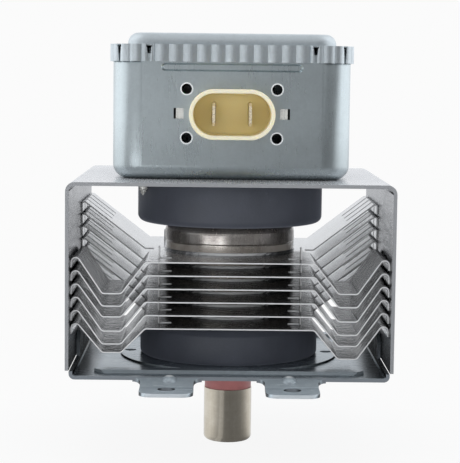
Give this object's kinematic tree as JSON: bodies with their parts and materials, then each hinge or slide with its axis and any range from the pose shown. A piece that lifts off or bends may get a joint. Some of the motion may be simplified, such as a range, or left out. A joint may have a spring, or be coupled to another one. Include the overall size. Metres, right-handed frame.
{
  "type": "magnetron",
  "caption": "Microwave magnetron: filter box with oval socket over a steel yoke that holds ring magnets, folded cooling fins, the anode tube and an antenna on a lugged mounting plate.",
  "frame": {"origin": "centre of the four mounting holes, on the underside of the lugs, which is the mounting face", "axes": "+Z along the tube's axis from the antenna towards the filter box, -Y the way the connector faces, +X to the right seen from the connector"},
  "size_m": [0.09, 0.1074, 0.12],
  "materials": {
    "zinc_box": "zinc-coated drawn steel, blue-grey",
    "zinc_lid": "zinc-coated pressed steel",
    "cream_plastic": "cream moulded insulator",
    "tinned_brass": "tinned",
    "bright_steel": "bright",
    "epoxy": "cast resin",
    "enamel_copper": "enamelled wire",
    "ferrite": "sintered ferrite, matt",
    "yoke_steel": "zinc-coated sheet, satin",
    "zinc_plate": "zinc-coated sheet, blue-grey",
    "anode_copper": "plated, darkened by heat",
    "bare_copper": "bare",
    "seal_metal": "plated, darkened by heat",
    "refractory_metal": "dull grey",
    "pink_ceramic": "pink alumina",
    "nickel_cap": "drawn, bright warm grey",
    "wire_mesh": "knitted wire",
    "fin_aluminium": "mill finish sheet"
  },
  "bodies": {
    "root": {"filter_box": "zinc_box", "filter_box_lid": "zinc_lid", "connector_housing": "cream_plastic", "terminal_blade_left": "tinned_brass", "terminal_blade_right": "tinned_brass", "capacitor_plate": "bright_steel", "capacitor_body": "epoxy", "choke_coil_left": "enamel_copper", "choke_coil_right": "enamel_copper", "choke_core_left": "ferrite", "choke_core_right": "ferrite", "box_screws": "bright_steel", "yoke_frame": "yoke_steel", "base_plate": "zinc_plate", "upper_magnet": "ferrite", "lower_magnet": "ferrite", "anode_block": "anode_copper", "upper_inner_strap": "bare_copper", "upper_outer_strap": "bare_copper", "lower_inner_strap": "bare_copper", "lower_outer_strap": "bare_copper", "upper_pole_piece": "bright_steel", "lower_pole_piece": "bright_steel", "upper_seal_cup": "seal_metal", "lower_seal_cup": "seal_metal", "filament": "refractory_metal", "upper_end_hat": "refractory_metal", "lower_end_hat": "refractory_metal", "centre_rod": "refractory_metal", "side_rod": "refractory_metal", "stem_ceramic": "pink_ceramic", "stem_terminal_left": "bright_steel", "stem_terminal_right": "bright_steel", "antenna_ceramic": "pink_ceramic", "antenna_collar": "seal_metal", "exhaust_tube": "bare_copper", "antenna_cap": "nickel_cap", "antenna_lead": "bare_copper", "gasket_ring": "wire_mesh", "gasket_retainer": "bright_steel", "cooling_fin_1": "fin_aluminium", "cooling_fin_2": "fin_aluminium", "cooling_fin_3": "fin_aluminium", "cooling_fin_4": "fin_aluminium", "cooling_fin_5": "fin_aluminium", "cooling_fin_6": "fin_aluminium"}
  },
  "joints": []
}
